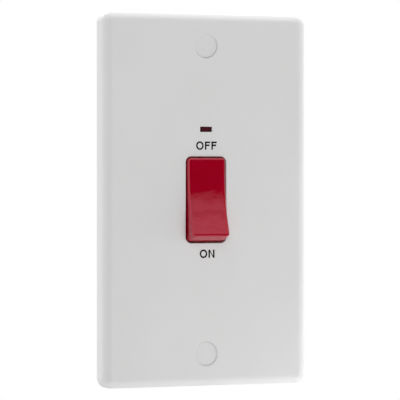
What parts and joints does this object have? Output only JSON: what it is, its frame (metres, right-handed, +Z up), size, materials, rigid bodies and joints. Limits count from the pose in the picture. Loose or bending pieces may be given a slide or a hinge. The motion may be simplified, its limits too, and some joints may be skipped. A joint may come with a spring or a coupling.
{
  "type": "cooker switch",
  "caption": "Upright two-gang wall plate in white moulded plastic with a red double-pole rocker, a neon window and screw caps.",
  "frame": {"origin": "middle of the plate, in the plane where its rim meets the wall", "axes": "+X to the right seen from the front, +Y back into the wall, +Z up"},
  "size_m": [0.086, 0.0369, 0.146],
  "materials": {
    "plate_white": "smooth moulded gloss",
    "rocker_red": "polished gloss",
    "base_cream": "satin moulded",
    "lens_red": "clear tinted",
    "neon_glass": "clear",
    "resistor_body": "lacquered",
    "tinned_wire": "tinned",
    "nylon_black": "moulded",
    "spring_steel": "drawn wire",
    "copper": "stamped",
    "silver": "pressed",
    "brass": "machined",
    "plated_steel": "zinc plated"
  },
  "bodies": {
    "plate_and_base": {"front_plate": "plate_white", "upper_screw_cap": "plate_white", "lower_screw_cap": "plate_white", "mechanism_base": "base_cream", "base_fixing_screws": "plated_steel", "terminal_screws": "plated_steel", "neon_lens": "lens_red", "neon_lamp": "neon_glass", "neon_resistor": "resistor_body", "neon_lead_line": "tinned_wire", "neon_lead_neutral": "tinned_wire", "earth_terminal": "brass", "earth_screw": "plated_steel", "fixed_contact_line": "copper", "fixed_tip_line": "silver", "contact_cradle_line": "copper", "load_terminal_line": "brass", "supply_terminal_line": "brass", "fixed_contact_neutral": "copper", "fixed_tip_neutral": "silver", "contact_cradle_neutral": "copper", "load_terminal_neutral": "brass", "supply_terminal_neutral": "brass"},
    "rocker": {"rocker": "rocker_red", "plunger_spring_line": "spring_steel", "plunger_spring_neutral": "spring_steel"},
    "plunger_line": {"plunger_line": "nylon_black"},
    "contact_line": {"moving_contact_line": "copper", "moving_tip_line": "silver"},
    "plunger_neutral": {"plunger_neutral": "nylon_black"},
    "contact_neutral": {"moving_contact_neutral": "copper", "moving_tip_neutral": "silver"}
  },
  "joints": [
    {"name": "rocker_hinge", "type": "hinge", "parent": "plate_and_base", "child": "rocker", "pos_m": [0, -0.0033, 0], "axis": [1, 0, 0], "range_deg": [0, 18.6]},
    {"name": "contact_line_hinge", "type": "hinge", "parent": "plate_and_base", "child": "contact_line", "pos_m": [-0.005, 0.00973, 0], "axis": [1, 0, 0], "range_deg": [-13, 0]},
    {"name": "plunger_line_slide", "type": "slide", "parent": "rocker", "child": "plunger_line", "axis": [0, -0.9869, 0.1616], "range_m": [0, 0.001], "stiffness_N_per_m": 1200, "springref_m": -0.003, "deforming": ["plunger_spring_line"]},
    {"name": "contact_neutral_hinge", "type": "hinge", "parent": "plate_and_base", "child": "contact_neutral", "pos_m": [0.005, 0.00973, 0], "axis": [1, 0, 0], "range_deg": [-13, 0]},
    {"name": "plunger_neutral_slide", "type": "slide", "parent": "rocker", "child": "plunger_neutral", "axis": [0, -0.9869, 0.1616], "range_m": [0, 0.001], "stiffness_N_per_m": 1200, "springref_m": -0.003, "deforming": ["plunger_spring_neutral"]}
  ],
  "couplings": [
    {"joint": "contact_line_hinge", "follows": "rocker_hinge", "ratio": -0.69892},
    {"joint": "contact_neutral_hinge", "follows": "rocker_hinge", "ratio": -0.69892}
  ]
}
